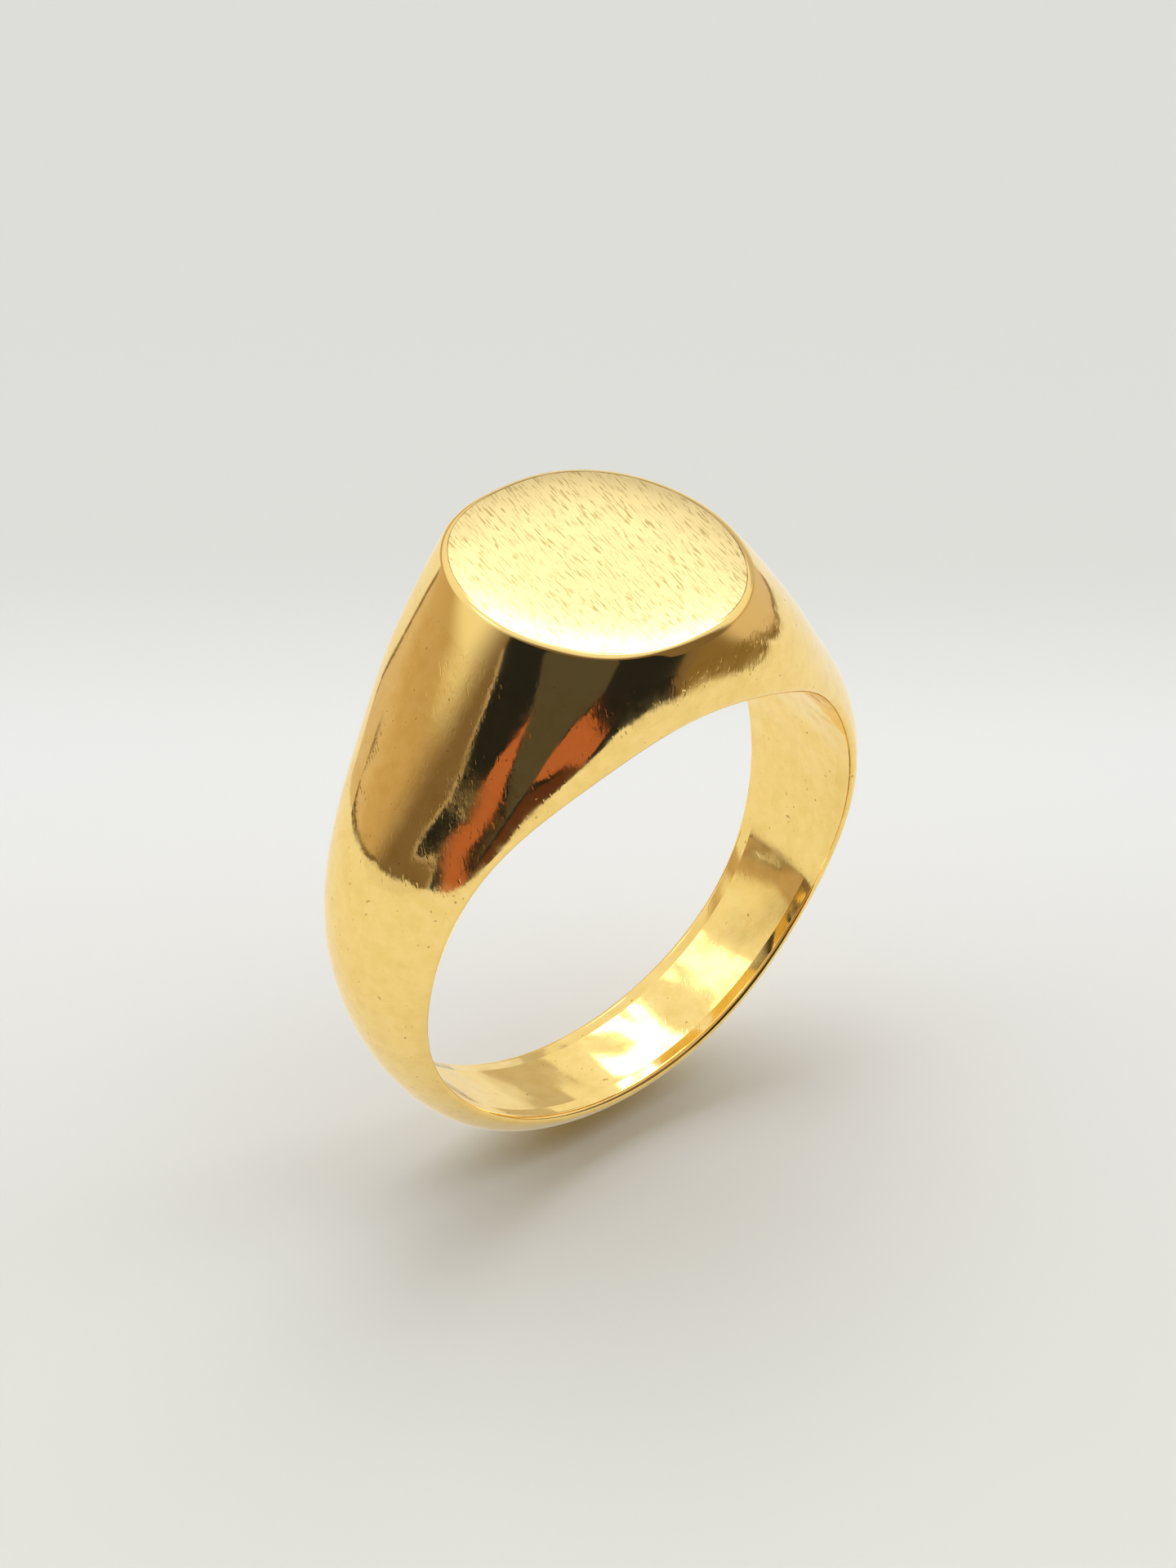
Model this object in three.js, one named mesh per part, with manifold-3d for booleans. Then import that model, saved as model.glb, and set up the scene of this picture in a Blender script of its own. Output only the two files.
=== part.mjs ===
// A signet ring built up from separate pieces of gold that are soldered together.
//
// Millimetres, +Z up. The ring stands on the base of its band with the flat seal table on top.
// X runs across the hand, Y along the finger and Z up to the table. The origin is the lowest
// point of the band. All shapes are worked out about the finger's axis, and the finished group
// is then lifted by the radius of the base.

import * as THREE from 'three';
import { mergeVertices } from 'three/addons/utils/BufferGeometryUtils.js';
import Module from 'manifold-3d';

const wasm = await Module();
wasm.setup();

// ---------------------------------------------------------------- driving dimensions

const FINGER_RADIUS = 9.25;      // inside of the band: a common adult ring size
const TABLE_HEIGHT = 12.9;       // seal table above the finger's axis
const TABLE_HALF_X = 4.9;        // half axes of the oval table
const TABLE_HALF_Y = 5.55;
const TABLE_EDGE_ROUND = 0.3;    // polished edge round the table
const RIM_ROUND = 0.4;           // comfort rounding of both rims of the finger hole

// Outer radius of the band and shoulders: [angle from the table, radius]. The profile leaves
// the end of the table, runs down the shoulder and round to the base.
const PROFILE_STATIONS = [[28, 12.82], [38, 11.84], [50, 11.15], [64, 10.98], [80, 10.88],
  [100, 10.5], [125, 10.3], [150, 10.6], [180, 10.85]];

// Half width of the solid at its middle, before its sides fall away: [height, half width].
const WIDTH_STATIONS = [[-10.6, 3.65], [-5.5, 4.52], [0, 5.05], [4.5, 4.95], [9.25, 5.42],
  [TABLE_HEIGHT, TABLE_HALF_Y]];

// How square the sides are: [height, power]. 1 is a plain oval, 2 has flat sides and full corners.
const FULLNESS_STATIONS = [[-10, 1.08], [0, 1.45], [4.5, 1.9], [9, 2.0], [13, 1.06]];

// The band's D section turns into the head's level oval slices between these heights.
const BAND_BELOW = -9;
const HEAD_ABOVE = 3;

const TABLE_PLATE_THICKNESS = 1.0;
const BACK_PLATE_THICKNESS = 0.9;
const HEAD_WALL_THICKNESS = 1.3;
const HOLLOW_HALF_X = 4.25;      // half length of the hollow under the table

const HEAD_EDGE_ANGLE = 36;      // the head meets the shoulders at this angle from the table
const SHOULDER_END_ANGLE = 96;   // the shoulders meet the band here
const SOLDER = 0.1;              // thickness of a solder joint
const GAP = 0.02;                // clearance between neighbouring solids
const CUTTER_SIZE = 40;          // longer than the ring every way

// ---------------------------------------------------------------- mesh fineness

const BAND_STEP = 4;             // degrees between the sections of the band
const HEAD_STEP = 2;             // and between those at the ends of the head
const HEAD_SECTIONS = 20;        // sections across the table
const WALL_STEPS = 8;            // points up each side of a section
const ROUND_STEPS = 3;           // points round an edge
const OVAL_STEPS = 56;           // points round the table
const FINGER_STEPS = 120;        // sides of the cylinders that follow the finger hole

const DEG = Math.PI / 180;

// ---------------------------------------------------------------- the outer shape

/** Natural cubic spline through [x, y] stations, as a function of x. */
function smoothCurve(stations) {
  const last = stations.length - 1;
  const span = (i) => stations[i + 1][0] - stations[i][0];
  const slope = (i) => (stations[i + 1][1] - stations[i][1]) / span(i);
  const ratio = [0];
  const part = [0];
  for (let i = 1; i < last; i++) {
    const pivot = 2 * (span(i - 1) + span(i)) - span(i - 1) * ratio[i - 1];
    ratio.push(span(i) / pivot);
    part.push((6 * (slope(i) - slope(i - 1)) - span(i - 1) * part[i - 1]) / pivot);
  }
  const bend = new Array(last + 1).fill(0);
  for (let i = last - 1; i > 0; i--) {
    bend[i] = part[i] - ratio[i] * bend[i + 1];
  }
  return (x) => {
    let i = 0;
    while (i < last - 1 && x > stations[i + 1][0]) {
      i += 1;
    }
    const left = (stations[i + 1][0] - x) / span(i);
    const right = 1 - left;
    const curve = (left ** 3 - left) * bend[i] + (right ** 3 - right) * bend[i + 1];
    return left * stations[i][1] + right * stations[i + 1][1] + curve * span(i) ** 2 / 6;
  };
}

function smootherStep(t) {
  const u = THREE.MathUtils.clamp(t, 0, 1);
  return u ** 3 * (u * (6 * u - 15) + 10);
}

const TABLE_END_ANGLE = Math.atan2(TABLE_HALF_X, TABLE_HEIGHT) / DEG;

/** The profile's stations, carried past the base as their own mirror image to run level there. */
function profileStations() {
  const stations = [[TABLE_END_ANGLE, Math.hypot(TABLE_HALF_X, TABLE_HEIGHT)], ...PROFILE_STATIONS];
  const mirrored = stations.slice(-4, -1).reverse().map(([angle, radius]) => [360 - angle, radius]);
  return [...stations, ...mirrored];
}

const outerRadius = smoothCurve(profileStations());
const middleHalfWidth = smoothCurve(WIDTH_STATIONS);
const fullness = smoothCurve(FULLNESS_STATIONS);

/** Half length along X of the profile at one height. */
function profileHalfLength(z) {
  let above = TABLE_END_ANGLE;
  let below = 180;
  for (let i = 0; i < 40; i++) {
    const angle = (above + below) / 2;
    if (outerRadius(angle) * Math.cos(angle * DEG) > z) {
      above = angle;
    } else {
      below = angle;
    }
  }
  return outerRadius(above) * Math.sin(above * DEG);
}

/** Half width along Y of the finished ring at a point of its middle plane. */
function halfWidth(x, z) {
  const angle = Math.max(Math.atan2(Math.abs(x), z) / DEG, TABLE_END_ANGLE);
  const radial = Math.hypot(x, z) / outerRadius(angle);
  const level = x / profileHalfLength(z);
  const head = smootherStep((z - BAND_BELOW) / (HEAD_ABOVE - BAND_BELOW));
  const reach = Math.min((1 - head) * radial ** 2 + head * level ** 2, 1);
  return middleHalfWidth(z) * Math.sqrt(1 - reach ** fullness(z));
}

/** How far a rounded edge has drawn in at a depth below its face. */
function roundingLoss(depth, radius) {
  return depth < radius ? radius - Math.sqrt(radius ** 2 - (radius - depth) ** 2) : 0;
}

// ---------------------------------------------------------------- meshes and solids

/** One closed geometry from loops of points, one after another, with a fan over each end. */
function loftGeometry(loops) {
  const count = loops[0].length;
  const points = loops.flat();
  const faces = [];
  for (let i = 0; i + 1 < loops.length; i++) {
    for (let j = 0; j < count; j++) {
      const next = (j + 1) % count;
      const [a, b, c, d] = [i * count + j, i * count + next, (i + 1) * count + next, (i + 1) * count + j];
      faces.push([a, b, c], [a, c, d]);
    }
  }
  for (const [loop, start, flip] of [[loops[0], 0, true], [loops.at(-1), points.length - count, false]]) {
    const middle = points.length;
    const sum = loop.reduce((total, point) => total.add(point), new THREE.Vector3());
    points.push(sum.divideScalar(count));
    for (let j = 0; j < count; j++) {
      const [a, b] = [start + j, start + (j + 1) % count];
      faces.push(flip ? [middle, b, a] : [middle, a, b]);
    }
  }
  const geometry = new THREE.BufferGeometry();
  geometry.setAttribute('position', new THREE.Float32BufferAttribute(points.flatMap((p) => p.toArray()), 3));
  geometry.setIndex(faces.flat());
  return dropSlivers(mergeVertices(geometry, 1e-5));
}

/** Removes triangles that use one vertex twice, as where a loop shrinks to fewer points. */
function dropSlivers(geometry) {
  const index = geometry.getIndex().array;
  const kept = [];
  for (let i = 0; i < index.length; i += 3) {
    const [a, b, c] = [index[i], index[i + 1], index[i + 2]];
    if (a !== b && b !== c && c !== a) {
      kept.push(a, b, c);
    }
  }
  geometry.setIndex(kept);
  return geometry;
}

function toSolid(source) {
  const geometry = source.clone();
  geometry.deleteAttribute('normal');
  geometry.deleteAttribute('uv');
  const merged = dropSlivers(mergeVertices(geometry, 1e-5));
  const vertProperties = new Float32Array(merged.getAttribute('position').array);
  const triVerts = new Uint32Array(merged.getIndex().array);
  return new wasm.Manifold(new wasm.Mesh({ numProp: 3, vertProperties, triVerts }));
}

function toGeometry(solid) {
  const mesh = solid.getMesh();
  const geometry = new THREE.BufferGeometry();
  geometry.setAttribute('position', new THREE.Float32BufferAttribute(mesh.vertProperties, 3));
  geometry.setIndex([...mesh.triVerts]);
  return geometry;
}

// ---------------------------------------------------------------- sections round the band

/** A point at an angle from the table, clockwise seen along +Y, a radius and a place along Y. */
function polarPoint(angle, radius, y) {
  return new THREE.Vector3(radius * Math.sin(angle * DEG), y, radius * Math.cos(angle * DEG));
}

/** Depths into the metal from the finger hole, close together at the rim and at the crown. */
function wallDepths(thickness) {
  const depths = [];
  for (let i = 0; i < ROUND_STEPS; i++) {
    depths.push(RIM_ROUND * (1 - Math.cos((i / ROUND_STEPS) * Math.PI / 2)));
  }
  for (let i = 0; i <= WALL_STEPS; i++) {
    depths.push(RIM_ROUND + (thickness - RIM_ROUND) * (1 - (1 - i / WALL_STEPS) ** 2));
  }
  return depths;
}

/** The section of the ring at one angle, from the finger hole out to a radius. */
function sectionLoop(angle, topRadius) {
  const side = wallDepths(topRadius - FINGER_RADIUS).map((depth) => {
    const middle = polarPoint(angle, FINGER_RADIUS + depth, 0);
    const y = halfWidth(middle.x, middle.z) - roundingLoss(depth, RIM_ROUND);
    return [FINGER_RADIUS + depth, Math.max(y, 0)];
  });
  const back = side.map(([radius, y]) => polarPoint(angle, radius, y));
  const front = side.map(([radius, y]) => polarPoint(angle, radius, -y)).reverse();
  return [...back, ...front];
}

/** Outside of the ring at any angle: the level table over the head, the profile elsewhere. */
function crownRadius(angle) {
  const turn = Math.abs(angle);
  return turn < TABLE_END_ANGLE ? TABLE_HEIGHT / Math.cos(turn * DEG) : outerRadius(turn);
}

/** Even angles for the sections of a stretch of the ring. */
function evenAngles(start, end, step) {
  const steps = Math.max(1, Math.round(Math.abs(end - start) / step));
  return Array.from({ length: steps + 1 }, (_, i) => start + (end - start) * i / steps);
}

/** A stretch of the ring between two angles below the head. */
function bandGeometry(start, end) {
  const angles = evenAngles(start, end, BAND_STEP);
  return loftGeometry(angles.map((angle) => sectionLoop(angle, crownRadius(angle))));
}

/** The angle that a thickness spans on the finger hole's wall. */
const solderAngle = SOLDER / FINGER_RADIUS / DEG;
const gapAngle = GAP / FINGER_RADIUS / DEG;

// ---------------------------------------------------------------- the head

/** Angles across the head, closer together near the ends of the oval table. */
function headAngles() {
  const inside = Array.from({ length: HEAD_SECTIONS + 1 }, (_, i) => {
    const x = TABLE_HALF_X * Math.sin((i / HEAD_SECTIONS - 0.5) * Math.PI);
    return Math.atan2(x, TABLE_HEIGHT) / DEG;
  });
  const right = evenAngles(TABLE_END_ANGLE, HEAD_EDGE_ANGLE, HEAD_STEP).slice(1);
  return [...right.map((angle) => -angle).reverse(), ...inside, ...right];
}

/** The solid between the finger hole and a radius, across the head. */
function headSolid(radiusAt) {
  return toSolid(loftGeometry(headAngles().map((angle) => sectionLoop(angle, radiusAt(angle)))));
}

/** A big block between two heights, to cut level slices with. */
function levelSlab(low, high) {
  const block = new THREE.BoxGeometry(CUTTER_SIZE, CUTTER_SIZE, high - low);
  block.translate(0, 0, (low + high) / 2);
  return toSolid(block);
}

/** A cylinder about the finger's axis, to cut the back plate's curve with. */
function fingerCylinder(radius) {
  return toSolid(new THREE.CylinderGeometry(radius, radius, CUTTER_SIZE, FINGER_STEPS));
}

/** The hollow inside the head: an oval shaft with an even wall round it. */
function headHollow() {
  const shaft = new THREE.CylinderGeometry(1, 1, CUTTER_SIZE, OVAL_STEPS);
  shaft.rotateX(Math.PI / 2);
  shaft.scale(HOLLOW_HALF_X, TABLE_HALF_Y - HEAD_WALL_THICKNESS, 1);
  shaft.translate(0, 0, CUTTER_SIZE / 2);
  return toSolid(shaft);
}

/** One level oval slice of the head, drawn in by an even margin. */
function ovalLoop(z, margin) {
  const halfX = profileHalfLength(z);
  return Array.from({ length: OVAL_STEPS }, (_, i) => {
    const turn = (i / OVAL_STEPS) * 2 * Math.PI;
    const along = Math.sign(Math.sin(turn)) * halfWidth(halfX * Math.cos(turn), z);
    const y = Math.abs(Math.sin(turn)) < 1e-9 ? 0 : along;
    return new THREE.Vector3(
      halfX * Math.cos(turn) * (1 - margin / halfX),
      y * (1 - margin / middleHalfWidth(z)),
      z,
    );
  });
}

/** The seal plate: straight sides and a rounded edge up to its flat top. */
function tablePlateGeometry() {
  const bottom = TABLE_HEIGHT - TABLE_PLATE_THICKNESS;
  const shoulder = TABLE_HEIGHT - TABLE_EDGE_ROUND;
  const levels = [bottom, (bottom + shoulder) / 2];
  for (let i = 0; i <= ROUND_STEPS; i++) {
    levels.push(shoulder + TABLE_EDGE_ROUND * Math.sin((i / ROUND_STEPS) * Math.PI / 2));
  }
  return loftGeometry(levels.map((z) => ovalLoop(z, roundingLoss(TABLE_HEIGHT - z, TABLE_EDGE_ROUND))));
}

// Heights and radii at which the head's pieces meet.
const PLATE_JOINT_TOP = TABLE_HEIGHT - TABLE_PLATE_THICKNESS - GAP;
const PLATE_JOINT_BOTTOM = PLATE_JOINT_TOP - SOLDER;
const BACK_JOINT_INSIDE = FINGER_RADIUS + BACK_PLATE_THICKNESS + GAP;
const BACK_JOINT_OUTSIDE = BACK_JOINT_INSIDE + SOLDER;

const wholeHead = headSolid(crownRadius);
const hollow = headHollow();
const hollowHead = wholeHead.subtract(hollow);

function headWallGeometry() {
  const cut = hollowHead.intersect(levelSlab(0, PLATE_JOINT_BOTTOM - GAP));
  return toGeometry(cut.subtract(fingerCylinder(BACK_JOINT_OUTSIDE + GAP)));
}

function tableJointGeometry() {
  return toGeometry(hollowHead.intersect(levelSlab(PLATE_JOINT_BOTTOM, PLATE_JOINT_TOP)));
}

function backPlateGeometry() {
  const outside = FINGER_RADIUS + BACK_PLATE_THICKNESS;
  return toGeometry(wholeHead.intersect(fingerCylinder(outside)));
}

function backJointGeometry() {
  const shell = hollowHead.intersect(fingerCylinder(BACK_JOINT_OUTSIDE));
  return toGeometry(shell.subtract(fingerCylinder(BACK_JOINT_INSIDE)));
}

// ---------------------------------------------------------------- materials

function gold(colour, roughness) {
  return new THREE.MeshStandardMaterial({ color: colour, roughness, metalness: 1 });
}

const POLISHED_GOLD = gold(0xf2c14e, 0.12);
const SATIN_GOLD = gold(0xf5d27a, 0.35);
const GOLD_SOLDER = gold(0xe9bd58, 0.18);

// ---------------------------------------------------------------- the assembly

const ring = new THREE.Group();

function addPiece(name, geometry, material) {
  const mesh = new THREE.Mesh(geometry, material);
  mesh.name = name;
  ring.add(mesh);
}

addPiece('table_plate', tablePlateGeometry(), SATIN_GOLD);
addPiece('table_solder_joint', tableJointGeometry(), GOLD_SOLDER);
addPiece('head_wall', headWallGeometry(), POLISHED_GOLD);
addPiece('back_plate_solder_joint', backJointGeometry(), GOLD_SOLDER);
addPiece('back_plate', backPlateGeometry(), POLISHED_GOLD);

// Each side of the ring, from the head down: solder, shoulder, solder, half of the band.
const shoulderJointStart = HEAD_EDGE_ANGLE + gapAngle;
const shoulderStart = shoulderJointStart + solderAngle + gapAngle;
const bandJointStart = SHOULDER_END_ANGLE + gapAngle;
const bandStart = bandJointStart + solderAngle + gapAngle;
const bandEnd = 180 - solderAngle / 2 - gapAngle;

for (const [side, sign] of [['left', -1], ['right', 1]]) {
  const place = (name, start, end, material) => {
    const geometry = bandGeometry(sign > 0 ? start : -end, sign > 0 ? end : -start);
    addPiece(`${side}_${name}`, geometry, material);
  };
  place('shoulder_solder_joint', shoulderJointStart, shoulderJointStart + solderAngle, GOLD_SOLDER);
  place('shoulder', shoulderStart, SHOULDER_END_ANGLE, POLISHED_GOLD);
  place('band_solder_joint', bandJointStart, bandJointStart + solderAngle, GOLD_SOLDER);
  place('half_band', bandStart, bandEnd, POLISHED_GOLD);
}
addPiece('sizing_solder_joint', bandGeometry(180 - solderAngle / 2, 180 + solderAngle / 2), GOLD_SOLDER);

ring.position.z = outerRadius(180);

export default ring;
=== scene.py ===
import math

import bpy
import numpy as np
from mathutils import Matrix, Vector


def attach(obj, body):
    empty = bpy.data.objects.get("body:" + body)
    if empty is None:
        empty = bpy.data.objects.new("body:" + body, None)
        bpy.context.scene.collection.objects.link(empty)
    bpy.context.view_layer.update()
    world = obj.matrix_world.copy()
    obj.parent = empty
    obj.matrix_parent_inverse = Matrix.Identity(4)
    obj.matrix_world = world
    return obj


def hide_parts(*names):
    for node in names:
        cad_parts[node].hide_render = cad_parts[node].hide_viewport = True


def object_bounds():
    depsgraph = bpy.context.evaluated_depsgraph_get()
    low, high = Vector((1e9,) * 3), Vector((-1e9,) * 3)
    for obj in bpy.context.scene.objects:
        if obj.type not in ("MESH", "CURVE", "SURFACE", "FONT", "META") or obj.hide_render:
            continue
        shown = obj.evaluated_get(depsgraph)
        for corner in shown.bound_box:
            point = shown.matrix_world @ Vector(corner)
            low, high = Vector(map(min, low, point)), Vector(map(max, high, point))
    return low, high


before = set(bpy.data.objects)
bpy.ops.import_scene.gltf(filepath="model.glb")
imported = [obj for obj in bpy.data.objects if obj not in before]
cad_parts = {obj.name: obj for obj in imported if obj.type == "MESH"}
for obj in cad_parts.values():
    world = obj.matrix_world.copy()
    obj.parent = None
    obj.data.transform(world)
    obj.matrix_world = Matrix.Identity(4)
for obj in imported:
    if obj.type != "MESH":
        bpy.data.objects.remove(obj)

# The looks of a gold signet ring, built around its CAD frame.
#
# Lengths below are in millimetres, measured about the finger's axis: X across the hand, Y along
# the finger, Z up to the table. make_piece() turns them into metres in the row frame, where the
# ring stands on the base of its band. The surface is the CAD's own formula with the same
# dimensions, drawn much finer and without the clearances between the pieces.

CAD_LOW, CAD_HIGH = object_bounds()
MM = 0.001
DEG = math.pi / 180
scene = bpy.context.scene

# ------------------------------------------------------------------ the ring's dimensions

FINGER_RADIUS = 9.25
BASE_RADIUS = 10.85
TABLE_HEIGHT = CAD_HIGH.z / MM - BASE_RADIUS
TABLE_HALF_X = 4.9
TABLE_HALF_Y = 5.55
TABLE_EDGE_ROUND = 0.3
RIM_ROUND = 0.4

# Outer radius at each angle from the table, half width at each height, and how square the
# sides are at each height, as in the CAD.
PROFILE_STATIONS = [(28, 12.82), (38, 11.84), (50, 11.15), (64, 10.98), (80, 10.88),
                    (100, 10.5), (125, 10.3), (150, 10.6), (180, BASE_RADIUS)]
WIDTH_STATIONS = [(-10.6, 3.65), (-5.5, 4.52), (0, 5.05), (4.5, 4.95), (9.25, 5.42),
                  (TABLE_HEIGHT, TABLE_HALF_Y)]
FULLNESS_STATIONS = [(-10, 1.08), (0, 1.45), (4.5, 1.9), (9, 2.0), (13, 1.06)]
BAND_BELOW = -9                  # heights between which the band's section turns into the head's
HEAD_ABOVE = 3

TABLE_PLATE_THICKNESS = 1.0
BACK_PLATE_THICKNESS = 0.9
HOLLOW_HALF_X = 4.25
HOLLOW_END_WALL = 1.3            # metal left beside the hollow where the table is longest
HOLLOW_HALF_Y = TABLE_HALF_Y - HOLLOW_END_WALL
HEAD_EDGE_ANGLE = 36
SHOULDER_END_ANGLE = 96
SEAM = 0.12                      # width of a solder joint, with no clearance beside it
SEAM_ANGLE = SEAM / FINGER_RADIUS / DEG


# ------------------------------------------------------------------ the outer shape

PROFILE_SAMPLES = 6000
SMALLEST_LENGTH = 1e-3           # these two keep divisions and slopes finite at the ring's edges
SMALLEST_SQUARE = 1e-8
SLOPE_STEP = 1e-3


def smooth_curve(stations):
    """Natural cubic spline through (x, y) stations, as a function of an array of x."""
    xs, ys = np.array(stations, float).T
    gaps = np.diff(xs)
    count = len(xs)
    system = np.eye(count)
    target = np.zeros(count)
    for i in range(1, count - 1):
        system[i, i - 1:i + 2] = gaps[i - 1], 2 * (gaps[i - 1] + gaps[i]), gaps[i]
        target[i] = 6 * ((ys[i + 1] - ys[i]) / gaps[i] - (ys[i] - ys[i - 1]) / gaps[i - 1])
    bends = np.linalg.solve(system, target)

    def curve(x):
        i = np.clip(np.searchsorted(xs, x) - 1, 0, count - 2)
        left = (xs[i + 1] - x) / gaps[i]
        right = 1 - left
        cubic = (left ** 3 - left) * bends[i] + (right ** 3 - right) * bends[i + 1]
        return left * ys[i] + right * ys[i + 1] + cubic * gaps[i] ** 2 / 6

    return curve


TABLE_END_ANGLE = math.atan2(TABLE_HALF_X, TABLE_HEIGHT) / DEG


def profile_curve():
    """Outer radius against angle, carried past the base as the last stations' mirror image."""
    start = (TABLE_END_ANGLE, math.hypot(TABLE_HALF_X, TABLE_HEIGHT))
    stations = [start, *PROFILE_STATIONS]
    mirrored = [(360 - angle, radius) for angle, radius in reversed(stations[-4:-1])]
    return smooth_curve(stations + mirrored)


outer_radius = profile_curve()
middle_half_width = smooth_curve(WIDTH_STATIONS)
fullness = smooth_curve(FULLNESS_STATIONS)

PROFILE_ANGLES = np.linspace(TABLE_END_ANGLE, 180, PROFILE_SAMPLES)
PROFILE_X = outer_radius(PROFILE_ANGLES) * np.sin(PROFILE_ANGLES * DEG)
PROFILE_Z = outer_radius(PROFILE_ANGLES) * np.cos(PROFILE_ANGLES * DEG)
PROFILE_END_SLOPE = (PROFILE_X[1] - PROFILE_X[0]) / (PROFILE_Z[1] - PROFILE_Z[0])


def profile_half_length(z):
    """Half length along X of the profile at a height, running on straight above the table."""
    inside = np.interp(z, PROFILE_Z[::-1], PROFILE_X[::-1])
    above = TABLE_HALF_X + (z - TABLE_HEIGHT) * PROFILE_END_SLOPE
    return np.where(z > TABLE_HEIGHT, above, inside)


def smoother_step(t):
    """Runs from 0 to 1 as t does, with no slope or bend at either end."""
    t = np.clip(t, 0, 1)
    return t ** 3 * (t * (6 * t - 15) + 10)


def squared_half_width(x, z):
    """Square of the half width along Y at a point of the middle plane. It is below 0 outside."""
    angle = np.maximum(np.arctan2(np.abs(x), z) / DEG, TABLE_END_ANGLE)
    radial = np.hypot(x, z) / outer_radius(angle)
    level = x / np.maximum(profile_half_length(z), SMALLEST_LENGTH)
    head = smoother_step((z - BAND_BELOW) / (HEAD_ABOVE - BAND_BELOW))
    reach = (1 - head) * radial ** 2 + head * level ** 2
    return middle_half_width(z) ** 2 * (1 - reach ** fullness(z))


def crown_radius(angle):
    """Outside of the ring at any angle: the level table over the head, the profile elsewhere."""
    turn = np.abs(angle)
    level = TABLE_HEIGHT / np.cos(np.minimum(turn, TABLE_END_ANGLE) * DEG)
    round_part = outer_radius(np.maximum(turn, TABLE_END_ANGLE))
    return np.where(turn < TABLE_END_ANGLE, level, round_part)


def rim_loss(depth):
    """How far the rounded rim of the finger hole has drawn in at a depth into the metal."""
    below = RIM_ROUND - np.minimum(depth, RIM_ROUND)
    return RIM_ROUND - np.sqrt(np.maximum(RIM_ROUND ** 2 - below ** 2, 0))


def rim_slope(depth):
    """Rate at which rim_loss changes with depth."""
    below = RIM_ROUND - np.minimum(depth, RIM_ROUND)
    return -below / np.sqrt(np.maximum(RIM_ROUND ** 2 - below ** 2, SMALLEST_SQUARE))


def unit(vectors):
    return vectors / np.linalg.norm(vectors, axis=-1, keepdims=True)


def stack(x, y, z):
    return np.stack(np.broadcast_arrays(x, y, z), axis=-1).astype(float)


def skin_normals(x, z, side):
    """Outward normals of the polished skin over points of the middle plane. side is -1 or 1."""
    radius = np.hypot(x, z)
    depth = radius - FINGER_RADIUS
    width = np.sqrt(np.maximum(squared_half_width(x, z), 0))
    step = SLOPE_STEP
    along_x = (squared_half_width(x + step, z) - squared_half_width(x - step, z)) / (2 * step)
    along_z = (squared_half_width(x, z + step) - squared_half_width(x, z - step)) / (2 * step)
    rim = 2 * width * rim_slope(depth) / radius
    return unit(stack(rim * x - along_x, 2 * width * side, rim * z - along_z))


def skin_points(x, z, side):
    """Points of the polished skin over points of the middle plane, with the hole's round rim."""
    width = np.sqrt(np.maximum(squared_half_width(x, z), 0))
    depth = np.hypot(x, z) - FINGER_RADIUS
    return stack(x, side * np.maximum(width - rim_loss(depth), 0), z)


# ------------------------------------------------------------------ meshes

WELD_DECIMALS = 5                # points this close, in millimetres, become one


class PieceMesh:
    """A closed mesh gathered from grids of points that share their edges, each with its normals."""

    def __init__(self):
        self.points = []
        self.normals = []
        self.quads = []
        self.marks = {"satin": [], "bore": []}
        self.total = 0

    def add_grid(self, points, normals, flip=False, satin=0.0, bore=0.0):
        """One grid. Its faces look along rows cross columns, or the other way with flip.

        satin and bore mark the brushed table and the wall of the finger hole for the materials.
        """
        rows, columns = points.shape[:2]
        index = self.total + np.arange(rows * columns).reshape(rows, columns)
        corners = [index[:-1, :-1], index[1:, :-1], index[1:, 1:], index[:-1, 1:]]
        quads = np.stack(corners, axis=-1).reshape(-1, 4)
        self.quads.append(quads[:, ::-1] if flip else quads)
        self.points.append(points.reshape(-1, 3))
        self.normals.append(np.broadcast_to(normals, points.shape).reshape(-1, 3))
        for mark, amount in (("satin", satin), ("bore", bore)):
            self.marks[mark].append(np.broadcast_to(amount, (rows, columns)).reshape(-1))
        self.total += rows * columns

    def to_mesh(self, name):
        """Welds the grids along their shared edges and keeps each grid's own normals."""
        points = np.concatenate(self.points)
        normals = np.concatenate(self.normals)
        rounded = np.round(points, WELD_DECIMALS)
        _, first, weld = np.unique(rounded, axis=0, return_index=True, return_inverse=True)
        weld = weld.reshape(-1)
        faces = []
        face_normals = []
        for quad in np.concatenate(self.quads):
            kept = [i for k, i in enumerate(quad) if weld[i] != weld[quad[k - 1]]]
            if len(kept) > 2:
                faces.append([weld[i] for i in kept])
                face_normals.extend(normals[i] for i in kept)
        lifted = (points[first] + (0, 0, BASE_RADIUS)) * MM
        mesh = bpy.data.meshes.new(name)
        mesh.from_pydata(lifted.tolist(), [], faces)
        for mark, amounts in self.marks.items():
            values = np.concatenate(amounts)[first]
            mesh.attributes.new(mark, "FLOAT", "POINT").data.foreach_set("value", values)
        mesh.shade_smooth()
        mesh.normals_split_custom_set(face_normals)
        mesh.update()
        return mesh


def make_piece(piece_mesh, node, material):
    """The finished object that stands for one CAD node."""
    piece = bpy.data.objects.new(node + "_finish", piece_mesh.to_mesh(node + "_finish"))
    scene.collection.objects.link(piece)
    piece.data.materials.append(material)
    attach(piece, "root")
    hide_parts(node)
    return piece


# ------------------------------------------------------------------ stretches of the band

BAND_STEP = 0.75                 # degrees between sections
RIM_STEPS = 8                    # rows over the rounded rim of the finger hole
WALL_STEPS = 44                  # rows from there to the outside
FLAT_STEPS = 10                  # columns across the finger hole's wall
JOINT_STEPS = 3                  # rows through a solder joint


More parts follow.
